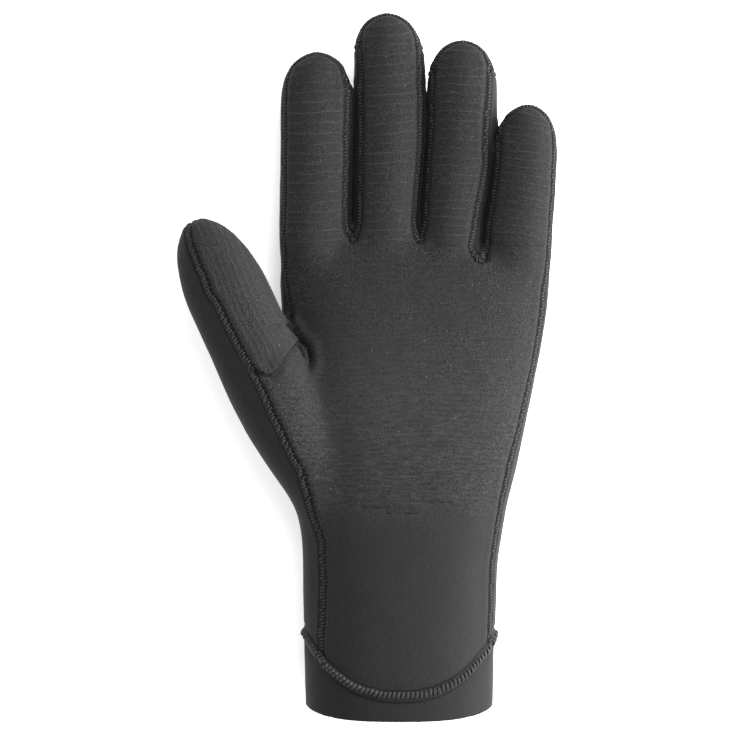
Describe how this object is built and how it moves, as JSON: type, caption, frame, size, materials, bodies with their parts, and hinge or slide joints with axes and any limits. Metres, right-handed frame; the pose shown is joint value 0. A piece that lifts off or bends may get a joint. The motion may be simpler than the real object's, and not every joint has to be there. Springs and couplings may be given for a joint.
{
  "type": "diving glove, left hand",
  "caption": "Left-hand black neoprene diving glove with a ribbed grip palm, flatlock seams, side strips between the fingers and a plain cuff band, lying palm up.",
  "frame": {"origin": "on the flat underside, behind the middle of the palm, 105 mm from the mouth of the cuff", "axes": "+X towards the little finger's side, +Y towards the fingertips, +Z out of the palm"},
  "size_m": [0.1441, 0.2659, 0.0453],
  "materials": {
    "palm_neoprene": "matte knit face with fine raised grip lines",
    "back_neoprene": "matte knit face",
    "cuff_neoprene": "matte smooth knit face"
  },
  "bodies": {
    "root": {"palm_panel": "palm_neoprene", "back_panel": "back_neoprene", "thumb_panel": "palm_neoprene", "fourchette_index_middle": "back_neoprene", "fourchette_middle_ring": "back_neoprene", "fourchette_ring_little": "back_neoprene", "cuff_band": "cuff_neoprene"}
  },
  "joints": []
}
